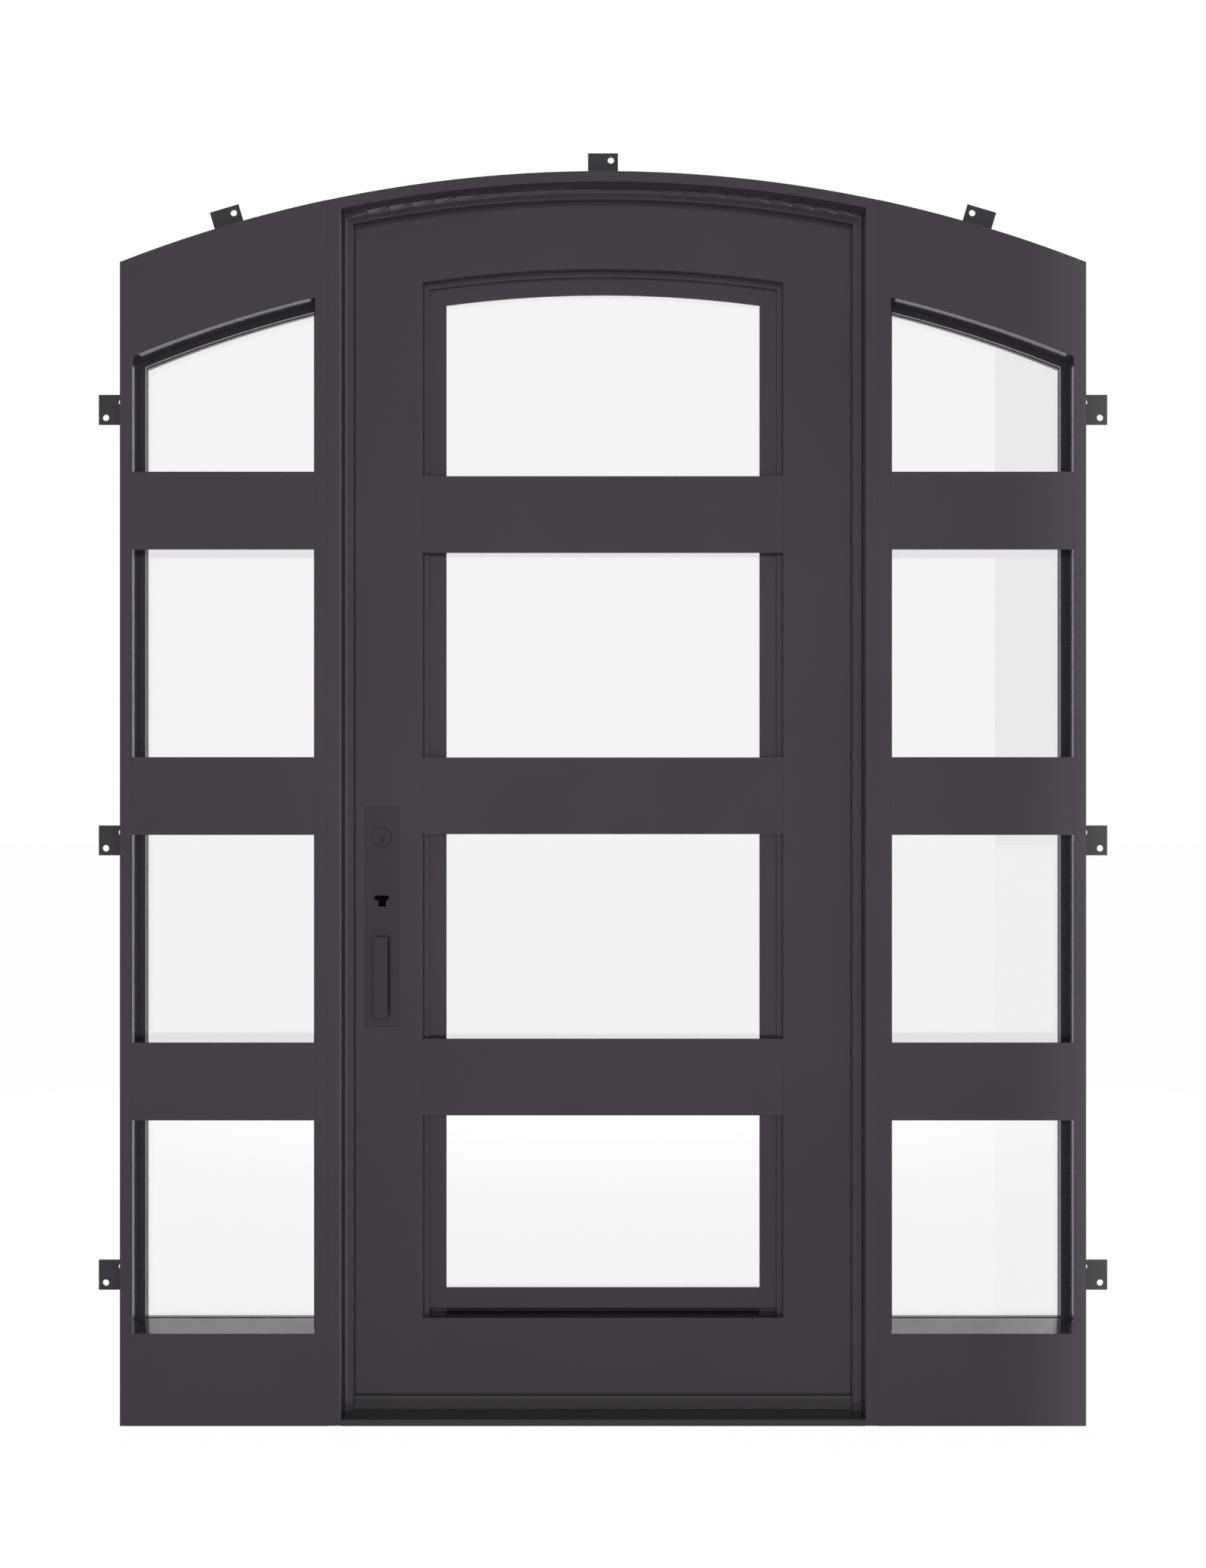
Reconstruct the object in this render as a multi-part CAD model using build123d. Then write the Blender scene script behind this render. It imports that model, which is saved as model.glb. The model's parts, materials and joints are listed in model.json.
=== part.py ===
from build123d import *
import os
from math import asin, atan2, cos, degrees, radians, sin, sqrt

# Arched steel entry door with two sidelights, in millimetres.
# +X is to the right seen from outdoors, +Y points indoors, +Z is up.
# The origin is on the underside of the threshold, midway across the width and depth.

# Overall frame
FRAME_HALF_WIDTH = 938.5
FRAME_HEIGHT = 2438.0
FRAME_DEPTH = 152.0
ARCH_RISE = 177.0

# Sidelight members
SEAM_X = 534.5
STILE_FACE = 24.5
RAIL_FACE = 179.5
BAR_THICKNESS = 5.0
SIDE_BAR_HEIGHT = 151.2
SIDE_BAR_MIDDLE = 1223.7
SIDE_BAR_PITCH = 554.4

# Sidelight glazing
GLAZING_STOP_FACE = 11.2
GLAZING_STOP_SETBACK = 67.0
GLAZING_STOP_DEPTH = 12.0
GLAZING_BEAD_DEPTH = 11.0

# Insulated glass, the same in the sidelights and the leaf
PANE = 5.0
GLASS_CAVITY = 10.0
GLASS_EDGE_GAP = 2.5
GLASS_BED = 0.3
SPACER_FACE = 12.5

# Door frame inside the sidelights
HEAD_FACE = 20.6
DOOR_STOP_FACE = 18.5
COVE_RADIUS = 7.3
STOP_STEP = 2.0
STOP_BAND_SETBACK = 60.0
THRESHOLD_THICKNESS = 12.6
UPSTAND_TOP = 38.0
UPSTAND_THICKNESS = 5.0

# Leaf
LEAF_SETBACK = 84.6
LEAF_THICKNESS = 64.0
LEAF_GAP = 6.0
LEAF_BOTTOM = 20.0
STOP_CLEARANCE = 5.6
LATCH_BEVEL = 3.0
LEAF_OPENING_HALF = 357.0
LEAF_OPENING_BOTTOM = 189.8
LEAF_OPENING_DROP = 170.6
LEAF_BAR_HEIGHT = 152.0
LEAF_BAR_MIDDLE = 1223.7
LEAF_BAR_PITCH = 557.2

# Glass sash inside the leaf, and the liner that it closes against
LINER_FACE = 10.75
LINER_SETBACK = 24.0
SASH_SETBACK = 34.5
SASH_GAP = 3.0
SASH_LIP = 3.7
SASH_SIGHT = 44.5
SASH_BITE = 10.0
SASH_SILL_GAP = 11.3
SASH_SILL_SIGHT = 52.1
SASH_FOOT_DEPTH = 14.0

# Wall tabs
TAB_SIZE = 59.3
TAB_THICKNESS = 5.0
TAB_SETBACK = 80.0
TAB_HOLE_RADIUS = 6.35
TAB_HOLE_INSET = 14.0
TAB_HEIGHTS = (276.0, 1135.5, 1987.5)
ARCH_TAB_STAND = 57.0
ARCH_TAB_ANGLE = 16.54
WELD_GAP = 0.2

# Butt hinges on the indoor side
HINGE_HEIGHTS = (300.0, 1190.0, 2080.0)
HINGE_LENGTH = 100.0
KNUCKLE_RADIUS = 9.0
KNUCKLE_GAP = 0.5
DOOR_KNUCKLE_LENGTH = 34.0
PIN_RADIUS = 5.0
PIN_FIT = 0.1
PIN_RUN = 0.25
PIN_HEAD_RADIUS = 7.0
PIN_HEAD_HEIGHT = 5.0
PIN_STAND = 10.0
HINGE_PLATE = 4.0
HINGE_PLATE_WIDTH = 34.0
HINGE_SWING_GAP = 2.0

# Lock set on the latch stile
LOCK_X = -437.0
LOCK_WIDTH = 65.0
LOCK_BOTTOM = 767.0
LOCK_TOP = 1201.6
LOCK_PLATE = 6.0
LOCK_PLATE_ROUND = 1.0
CYLINDER_Z = 1142.6
CYLINDER_RADIUS = 18.5
CYLINDER_PROUD = 2.0
CYLINDER_GAP = 0.6
CYLINDER_DEPTH = 45.0
PLUG_DROP = 5.5
PLUG_RADIUS = 7.0
PLUG_RUN = 0.3
PLUG_PROUD = 1.2
PLUG_LENGTH = 30.0
KEYWAY_WIDTH = 2.4
KEYWAY_HEIGHT = 9.0
KEYWAY_DEPTH = 12.0

# Thumb latch under the cylinder
THUMB_SLOT_WIDTH = 14.2
THUMB_SLOT_BOTTOM = 1004.7
THUMB_SLOT_TOP = 1024.0
THUMB_PAD_WIDTH = 27.0
THUMB_PAD_REACH = 14.0
THUMB_PAD_THICKNESS = 3.8
THUMB_PAD_DROP = 4.4
THUMB_PAD_TOP = 1026.4
THUMB_PAD_CLEAR = 5.5
THUMB_NECK_WIDTH = 8.0
THUMB_NECK_HEIGHT = 6.0
THUMB_PIVOT_SETBACK = 8.0
THUMB_PIN_RADIUS = 2.0
THUMB_PIN_RUN = 0.25
THUMB_EYE_RADIUS = 5.0
THUMB_LUG_GAP = 1.0
THUMB_LUG_WIDTH = 3.0
THUMB_LUG_RADIUS = 4.5
THUMB_POCKET_MARGIN = 6.0
THUMB_POCKET_DEPTH = 22.0

# Pull grip under the thumb latch
PULL_WIDTH = 27.0
PULL_BOTTOM = 786.0
PULL_TOP = 946.5
PULL_REACH = 30.0
PULL_STRAP = 6.0
PULL_BEND = 3.0

# Indoor lever and thumb turn
ROSE_RADIUS = 27.0
ROSE_HEIGHT = 8.0
LEVER_Z = 1012.0
LEVER_NECK_RADIUS = 10.0
LEVER_REACH = 58.0
LEVER_LENGTH = 108.0
LEVER_ROOT_RADIUS = 11.0
LEVER_TIP_RADIUS = 7.0
LEVER_THICKNESS = 12.0
LEVER_BEVEL = 2.5
TURN_ROSE_RADIUS = 22.0
TURN_ROSE_HEIGHT = 6.0
TURN_WIDTH = 9.0
TURN_HEIGHT = 32.0
TURN_REACH = 24.0

# Lock plate in the leaf's edge and strike in the jamb
EDGE_PLATE_WIDTH = 26.0
EDGE_PLATE_BOTTOM = 960.0
EDGE_PLATE_TOP = 1190.0
EDGE_PLATE_THICKNESS = 3.0
EDGE_PLATE_FIT = 0.2
STRIKE_BOLT_WIDTH = 16.0
STRIKE_BOLT_HEIGHT = 30.0
STRIKE_BOLT_DEPTH = 14.0

# Places worked out from the sizes above
ARCH_RADIUS = (FRAME_HALF_WIDTH**2 + ARCH_RISE**2) / (2 * ARCH_RISE)
ARCH_Z = FRAME_HEIGHT - ARCH_RADIUS
FRONT = -FRAME_DEPTH / 2
BACK = FRAME_DEPTH / 2
JAMB_INNER = SEAM_X - STILE_FACE
HEAD_RADIUS = ARCH_RADIUS - HEAD_FACE
STOP_INNER = JAMB_INNER - DOOR_STOP_FACE
LEAF_FRONT = FRONT + LEAF_SETBACK
LEAF_BACK = LEAF_FRONT + LEAF_THICKNESS
LEAF_HALF = JAMB_INNER - LEAF_GAP
LEAF_RADIUS = HEAD_RADIUS - LEAF_GAP
STOP_BACK = LEAF_FRONT - STOP_CLEARANCE
OPENING_RADIUS = ARCH_RADIUS - LEAF_OPENING_DROP
UNIT_THICKNESS = 2 * PANE + GLASS_CAVITY
PIN_X = JAMB_INNER - LEAF_GAP / 2
PIN_Y = BACK + PIN_STAND
PLATE_FRONT = LEAF_FRONT - LOCK_PLATE

FAR = 2 * FRAME_HEIGHT

parts = {}


# Shared shapes

def slab(outline, front, back):
    """An outline drawn in X and Z, made solid from its front to its back along Y."""
    plane = Plane(origin=(0, back, 0), x_dir=(1, 0, 0), z_dir=(0, -1, 0))
    return extrude(plane * outline, amount=back - front)


def panel(left, right, bottom, top):
    """A rectangle in X and Z, given by its four edges."""
    return Pos((left + right) / 2, (bottom + top) / 2) * Rectangle(right - left, top - bottom)


def block(left, right, front, back, bottom, top):
    """A plain block given by its six faces."""
    return slab(panel(left, right, bottom, top), front, back)


def disc(radius):
    """A disc about the centre of the arch."""
    return Pos(0, ARCH_Z) * Circle(radius)


def under_arch(left, right, bottom, radius):
    """A rectangle whose top edge follows the arch at one radius."""
    return panel(left, right, bottom, ARCH_Z + radius) & disc(radius)


def arch_band(left, right, outer, inner):
    """A stretch of arched rail between two radii."""
    return under_arch(left, right, ARCH_Z + inner / 2, outer) - disc(inner)


def rod_y(x, z, radius, front, back):
    """A round bar along Y."""
    return slab(Pos(x, z) * Circle(radius), front, back)


def rod_z(x, y, radius, bottom, top):
    """A round bar along Z."""
    return extrude(Pos(x, y, bottom) * Circle(radius), amount=top - bottom)


def rod_x(y, z, radius, left, right):
    """A round bar along X."""
    plane = Plane(origin=(left, y, z), x_dir=(0, 1, 0), z_dir=(1, 0, 0))
    return extrude(plane * Circle(radius), amount=right - left)


def members(ring, left, right, middle):
    """A frame cut into left stile, right stile, top rail and bottom rail."""
    depth = (-FAR, FAR)
    return (
        ring & block(-FAR, left, *depth, -FAR, FAR),
        ring & block(right, FAR, *depth, -FAR, FAR),
        ring & block(left, right, *depth, middle, FAR),
        ring & block(left, right, *depth, -FAR, middle),
    )


def flip(shape):
    """The same piece on the other side of the door."""
    return mirror(shape, about=Plane.YZ)


def both_sides(name, shape):
    """Keep a right-hand piece and its left-hand twin, each in its own node."""
    parts["right_" + name] = shape
    parts["left_" + name] = flip(shape)


def pair(name, *shapes):
    """Keep right-hand pieces and their left-hand twins in one node."""
    parts[name] = group(*shapes, *[flip(shape) for shape in shapes])


def group(*shapes):
    """Like pieces that share a node without touching."""
    return Compound(children=[solid for shape in shapes for solid in shape.solids()])


# Door frame: jambs, arched head and threshold

def make_door_frame():
    jamb = slab(under_arch(JAMB_INNER, SEAM_X, 0, ARCH_RADIUS), FRONT, BACK)
    parts["hinge_jamb"] = jamb
    parts["latch_jamb"] = flip(jamb) - strike_pocket()
    parts["strike_plate"] = strike_plate()
    parts["head"] = slab(arch_band(-JAMB_INNER, JAMB_INNER, ARCH_RADIUS, HEAD_RADIUS), FRONT, BACK)
    sill = block(-JAMB_INNER, JAMB_INNER, FRONT, BACK, 0, THRESHOLD_THICKNESS)
    upstand = block(-STOP_INNER, STOP_INNER, STOP_BACK - UPSTAND_THICKNESS, STOP_BACK,
                    THRESHOLD_THICKNESS, UPSTAND_TOP)
    parts["threshold"] = sill + upstand


def stop_section(edge):
    """Section of the door stop: a cove, a small step and a flat band, from its outer edge inwards."""
    band = FRONT + STOP_BAND_SETBACK
    cove_end = band - STOP_STEP
    cove_start = cove_end - COVE_RADIUS
    cove = RadiusArc((edge, cove_start), (edge - COVE_RADIUS, cove_end), -COVE_RADIUS)
    inner = edge - DOOR_STOP_FACE
    rest = Polyline((edge - COVE_RADIUS, cove_end), (edge - COVE_RADIUS, band), (inner, band),
                    (inner, STOP_BACK), (edge, STOP_BACK), (edge, cove_start))
    return make_face([cove, rest])


def make_door_stops():
    outer_corner = (JAMB_INNER, ARCH_Z + sqrt(HEAD_RADIUS**2 - JAMB_INNER**2))
    inner_radius = HEAD_RADIUS - DOOR_STOP_FACE
    inner_corner = (STOP_INNER, ARCH_Z + sqrt(inner_radius**2 - STOP_INNER**2))
    run = outer_corner[0] - inner_corner[0]
    rise = outer_corner[1] - inner_corner[1]
    mitre = Plane(origin=(outer_corner[0], 0, outer_corner[1]), x_dir=(0, 1, 0), z_dir=(-rise, 0, run))
    other_mitre = Plane(origin=(-outer_corner[0], 0, outer_corner[1]), x_dir=(0, 1, 0), z_dir=(rise, 0, run))

    upright = extrude(Pos(0, 0, THRESHOLD_THICKNESS) * stop_section(JAMB_INNER), amount=FRAME_HEIGHT)
    upright = split(upright, bisect_by=mitre, keep=Keep.BOTTOM)
    parts["hinge_stop"] = upright
    parts["latch_stop"] = flip(upright)

    arch_axis = Axis((0, 0, ARCH_Z), (0, 1, 0))
    half_angle = degrees(asin(JAMB_INNER / inner_radius))
    radial = Plane(origin=(0, 0, ARCH_Z), x_dir=(0, 0, 1), z_dir=(-1, 0, 0))
    section = (radial * stop_section(HEAD_RADIUS)).rotate(arch_axis, -half_angle)
    crown = revolve(section, arch_axis, 2 * half_angle)
    crown = split(crown, bisect_by=mitre, keep=Keep.TOP)
    parts["head_stop"] = split(crown, bisect_by=other_mitre, keep=Keep.TOP)


# Sidelights: a fixed frame each, flat bars in front, glass behind

def make_sidelights():
    inner = SEAM_X + STILE_FACE
    outer = FRAME_HALF_WIDTH - STILE_FACE
    rail_radius = ARCH_RADIUS - RAIL_FACE
    middle = FRAME_HEIGHT / 2
    opening = under_arch(inner, outer, RAIL_FACE, rail_radius)
    ring = slab(under_arch(SEAM_X, FRAME_HALF_WIDTH, 0, ARCH_RADIUS) - opening, FRONT, BACK)
    inner_stile, outer_stile, top_rail, bottom_rail = members(ring, inner, outer, middle)
    stop_front = FRONT + GLAZING_STOP_SETBACK
    stop_back = stop_front + GLAZING_STOP_DEPTH
    slope = sill_slope(inner, outer, stop_back)
    both_sides("inner_stile", inner_stile)
    both_sides("outer_stile", outer_stile)
    both_sides("top_rail", top_rail)
    both_sides("bottom_rail", bottom_rail + slope)

    heights = [SIDE_BAR_MIDDLE + step * SIDE_BAR_PITCH for step in (-1, 0, 1)]
    bars = [bar(inner, outer, z, SIDE_BAR_HEIGHT, FRONT) for z in heights]
    pair("sidelight_bars", *bars)

    sight_left = inner + GLAZING_STOP_FACE
    sight_right = outer - GLAZING_STOP_FACE
    sight_radius = rail_radius - GLAZING_STOP_FACE
    stop_outline = opening - under_arch(sight_left, sight_right, 0, sight_radius)
    pair("glazing_stops", slab(stop_outline, stop_front, stop_back) - slope)

    glass_front = stop_back + GLASS_BED
    bead_front = glass_front + UNIT_THICKNESS + GLASS_BED
    sight = under_arch(sight_left, sight_right, RAIL_FACE + GLAZING_STOP_FACE, sight_radius)
    pair("glazing_beads", slab(opening - sight, bead_front, bead_front + GLAZING_BEAD_DEPTH))

    edge = GLASS_EDGE_GAP
    glass = under_arch(inner + edge, outer - edge, RAIL_FACE + edge, rail_radius - edge)
    hole = under_arch(inner + SPACER_FACE, outer - SPACER_FACE,
                      RAIL_FACE + SPACER_FACE, rail_radius - SPACER_FACE)
    panes, spacer = glass_unit(glass, hole, glass_front)
    both_sides("glass", panes)
    pair("glass_spacers", spacer)


def sill_slope(left, right, back):
    """The weathered top of a sidelight's bottom rail, rising towards the glass."""
    profile = Polyline((FRONT, RAIL_FACE), (back, RAIL_FACE + GLAZING_STOP_FACE), (back, RAIL_FACE), close=True)
    plane = Plane(origin=(left, 0, 0), x_dir=(0, 1, 0), z_dir=(1, 0, 0))
    return extrude(plane * make_face(profile), amount=right - left)


def bar(left, right, z, height, front):
    """A flat bar across an opening, flush with the front."""
    return block(left, right, front, front + BAR_THICKNESS, z - height / 2, z + height / 2)


def glass_unit(outline, hole, front):
    """Two panes and the spacer that holds them apart."""
    cavity = front + PANE
    inner_pane = cavity + GLASS_CAVITY
    panes = group(slab(outline, front, cavity), slab(outline, inner_pane, inner_pane + PANE))
    return panes, slab(outline - hole, cavity, inner_pane)


# Tabs that are screwed to the wall

def make_tabs():
    front = FRONT + TAB_SETBACK
    back = front + TAB_THICKNESS
    half = TAB_SIZE / 2
    reach = half - TAB_HOLE_INSET
    plate = Rectangle(TAB_SIZE, TAB_SIZE)
    outer_hole = Pos(reach, -reach) * Circle(TAB_HOLE_RADIUS)
    inner_hole = Pos(-reach, reach) * Circle(TAB_HOLE_RADIUS)
    tab = plate - outer_hole - inner_hole
    places = [Pos(FRAME_HALF_WIDTH + half, z) for z in TAB_HEIGHTS]
    pair("side_tabs", *[slab(place * tab, front, back) for place in places])

    # On the arch the outer hole stands at the upper corner that is nearer the middle.
    radius = ARCH_RADIUS + ARCH_TAB_STAND - half
    arch_holes = Pos(reach, reach) * Circle(TAB_HOLE_RADIUS) + Pos(-reach, -reach) * Circle(TAB_HOLE_RADIUS)
    arch_tab = plate - arch_holes
    turned = [Rot(0, 0, angle) * Pos(0, radius) * arch_tab for angle in (0, ARCH_TAB_ANGLE)]
    seat = disc(ARCH_RADIUS + WELD_GAP)
    top_tab, left_tab = [slab(Pos(0, ARCH_Z) * shape - seat, front, back) for shape in turned]
    parts["arch_tabs"] = group(left_tab, top_tab, flip(left_tab))


# Leaf: stiles and rails round an opening, with flat bars flush in front

def make_leaf():
    half = LEAF_OPENING_HALF
    opening = under_arch(-half, half, LEAF_OPENING_BOTTOM, OPENING_RADIUS)
    outline = under_arch(-LEAF_HALF, LEAF_HALF, LEAF_BOTTOM, LEAF_RADIUS)
    ring = slab(outline - opening, LEAF_FRONT, LEAF_BACK)
    latch_stile, hinge_stile, top_rail, bottom_rail = members(ring, -half, half, LEAF_BAR_MIDDLE)
    parts["leaf_latch_stile"] = latch_stile - latch_bevel() - lock_pockets()
    parts["leaf_hinge_stile"] = hinge_stile
    parts["leaf_top_rail"] = top_rail
    parts["leaf_bottom_rail"] = bottom_rail
    heights = [LEAF_BAR_MIDDLE + step * LEAF_BAR_PITCH for step in (-1, 0, 1)]
    parts["leaf_bars"] = group(*[bar(-half, half, z, LEAF_BAR_HEIGHT, LEAF_FRONT) for z in heights])

    inner = half - LINER_FACE
    liner_outline = opening - under_arch(-inner, inner, 0, OPENING_RADIUS - LINER_FACE)
    parts["sash_liner"] = slab(liner_outline, LEAF_FRONT + LINER_SETBACK, LEAF_FRONT + SASH_SETBACK)


def latch_bevel():
    """The wedge taken off the latch edge so that it clears the jamb as it opens."""
    wedge = Polyline((-LEAF_HALF, LEAF_FRONT), (-LEAF_HALF + LATCH_BEVEL, LEAF_FRONT),
                     (-LEAF_HALF, LEAF_BACK), close=True)
    return extrude(make_face(wedge), amount=FAR)


def make_sash():
    front = LEAF_FRONT + SASH_SETBACK
    lip_back = front + SASH_LIP
    half = LEAF_OPENING_HALF
    top = OPENING_RADIUS
    sash_half = half - SASH_GAP
    sight_half = half - SASH_SIGHT
    bite_half = sight_half + SASH_BITE
    bottom = LEAF_OPENING_BOTTOM + SASH_SILL_GAP
    sight_bottom = LEAF_OPENING_BOTTOM + SASH_SILL_SIGHT
    bite_bottom = sight_bottom - SASH_BITE
    outline = under_arch(-sash_half, sash_half, bottom, top - SASH_GAP)
    bite = under_arch(-bite_half, bite_half, bite_bottom, top - SASH_SIGHT + SASH_BITE)
    sight = under_arch(-sight_half, sight_half, sight_bottom, top - SASH_SIGHT)
    foot = block(-sash_half, sash_half, LEAF_BACK - SASH_FOOT_DEPTH, LEAF_BACK,
                 LEAF_OPENING_BOTTOM + GLASS_BED, bottom)
    ring = slab(outline - bite, front, LEAF_BACK) + slab(bite - sight, front, lip_back) + foot
    left, right, top_rail, bottom_rail = members(ring, -sight_half, sight_half, LEAF_BAR_MIDDLE)
    parts["sash_stiles"] = group(left, right)
    parts["sash_top_rail"] = top_rail
    parts["sash_bottom_rail"] = bottom_rail

    glass_front = lip_back + GLASS_BED
    edge = bite_half - GLASS_EDGE_GAP
    glass = under_arch(-edge, edge, bite_bottom + GLASS_EDGE_GAP, top - SASH_SIGHT + SASH_BITE - GLASS_EDGE_GAP)
    spacer_half = bite_half - SPACER_FACE
    hole = under_arch(-spacer_half, spacer_half, bite_bottom + SPACER_FACE,
                      top - SASH_SIGHT + SASH_BITE - SPACER_FACE)
    parts["leaf_glass"], parts["leaf_spacer"] = glass_unit(glass, hole, glass_front)
    bead_front = glass_front + UNIT_THICKNESS + GLASS_BED
    parts["sash_bead"] = slab(bite - sight, bead_front, LEAF_BACK)


# Butt hinges: a plate and two knuckles on the jamb, a plate and one knuckle on the leaf, a pin

def make_hinges():
    hinges = [hinge(z) for z in HINGE_HEIGHTS]
    names = ("hinge_frame_plates", "hinge_leaf_plates", "hinge_pins")
    for name, pieces in zip(names, zip(*hinges)):
        parts[name] = group(*pieces)


def hinge(z):
    low = z - HINGE_LENGTH / 2
    high = z + HINGE_LENGTH / 2
    door_low = z - DOOR_KNUCKLE_LENGTH / 2
    door_high = z + DOOR_KNUCKLE_LENGTH / 2
    swing = KNUCKLE_RADIUS + HINGE_SWING_GAP
    frame_ends = ((low, door_low - KNUCKLE_GAP), (door_high + KNUCKLE_GAP, high))

    frame_plate = block(PIN_X + swing, SEAM_X, BACK, BACK + HINGE_PLATE, low, high)
    for bottom, top in frame_ends:
        arm = block(PIN_X, PIN_X + swing, BACK, BACK + HINGE_PLATE, bottom, top)
        frame_plate += arm + rod_z(PIN_X, PIN_Y, KNUCKLE_RADIUS, bottom, top)
    frame_plate -= rod_z(PIN_X, PIN_Y, PIN_RADIUS + PIN_FIT, low, high)

    plate_end = PIN_X - swing
    door_plate = block(plate_end - HINGE_PLATE_WIDTH, plate_end, LEAF_BACK, LEAF_BACK + HINGE_PLATE, low, high)
    door_plate += block(plate_end, PIN_X - PIN_RADIUS, LEAF_BACK, LEAF_BACK + HINGE_PLATE, door_low, door_high)
    door_plate += block(PIN_X - KNUCKLE_RADIUS, PIN_X - PIN_RADIUS, LEAF_BACK, PIN_Y, door_low, door_high)
    door_plate += rod_z(PIN_X, PIN_Y, KNUCKLE_RADIUS, door_low, door_high)
    door_plate -= rod_z(PIN_X, PIN_Y, PIN_RADIUS + PIN_RUN, door_low, door_high)

    pin = rod_z(PIN_X, PIN_Y, PIN_RADIUS, low, high)
    pin += rod_z(PIN_X, PIN_Y, PIN_HEAD_RADIUS, high, high + PIN_HEAD_HEIGHT)
    return frame_plate, door_plate, pin


# Lock set: plate, cylinder with its key plug, thumb latch and pull grip

def thumb_pivot():
    """Where the thumb latch turns, behind the plate."""
    z = (THUMB_SLOT_BOTTOM + THUMB_SLOT_TOP) / 2
    return LEAF_FRONT + THUMB_PIVOT_SETBACK, z


def lock_pockets():
    """Holes in the latch stile for the cylinder, the thumb latch and the edge plate."""
    cylinder = rod_y(LOCK_X, CYLINDER_Z, CYLINDER_RADIUS + CYLINDER_GAP, LEAF_FRONT, LEAF_FRONT + CYLINDER_DEPTH)
    half = THUMB_SLOT_WIDTH / 2 + THUMB_LUG_WIDTH + THUMB_LUG_GAP
    thumb = block(LOCK_X - half, LOCK_X + half, LEAF_FRONT, LEAF_FRONT + THUMB_POCKET_DEPTH,
                  THUMB_SLOT_BOTTOM - THUMB_POCKET_MARGIN, THUMB_SLOT_TOP + THUMB_POCKET_MARGIN)
    return cylinder + thumb + edge_plate(EDGE_PLATE_FIT)


def edge_frame():
    """A plane on the bevelled latch edge: across the edge, up the edge, out of the edge."""
    slope = degrees(atan2(LATCH_BEVEL, LEAF_THICKNESS))
    middle = ((LEAF_FRONT + LEAF_BACK) / 2, (EDGE_PLATE_BOTTOM + EDGE_PLATE_TOP) / 2)
    normal = (-cos(radians(slope)), -sin(radians(slope)), 0)
    across = (-sin(radians(slope)), cos(radians(slope)), 0)
    return Plane(origin=(-LEAF_HALF + LATCH_BEVEL / 2, *middle), x_dir=across, z_dir=normal)


def edge_plate(fit):
    """The lock's plate let into the latch edge, or its pocket with a fit all round."""
    height = EDGE_PLATE_TOP - EDGE_PLATE_BOTTOM
    face = Rectangle(EDGE_PLATE_WIDTH + 2 * fit, height + 2 * fit)
    return extrude(edge_frame() * face, amount=-EDGE_PLATE_THICKNESS - fit)


def strike_outline(fit):
    """The strike on the latch jamb faces the lock's plate."""
    middle_y = (LEAF_FRONT + LEAF_BACK) / 2
    middle_z = (EDGE_PLATE_BOTTOM + EDGE_PLATE_TOP) / 2
    height = EDGE_PLATE_TOP - EDGE_PLATE_BOTTOM
    plane = Plane(origin=(-JAMB_INNER, middle_y, middle_z), x_dir=(0, 1, 0), z_dir=(1, 0, 0))
    return plane, Rectangle(EDGE_PLATE_WIDTH + 2 * fit, height + 2 * fit)


def bolt_windows():
    """Openings in the strike for the latch bolt and the dead bolt."""
    window = Rectangle(STRIKE_BOLT_WIDTH, STRIKE_BOLT_HEIGHT)
    middle = (EDGE_PLATE_BOTTOM + EDGE_PLATE_TOP) / 2
    return Pos(0, LEVER_Z - middle) * window + Pos(0, CYLINDER_Z - middle) * window


def strike_pocket():
    plane, face = strike_outline(EDGE_PLATE_FIT)
    plate = extrude(plane * face, amount=-EDGE_PLATE_THICKNESS - EDGE_PLATE_FIT)
    return plate + extrude(plane * bolt_windows(), amount=-STRIKE_BOLT_DEPTH)


def strike_plate():
    plane, face = strike_outline(0)
    return extrude(plane * (face - bolt_windows()), amount=-EDGE_PLATE_THICKNESS)


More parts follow.
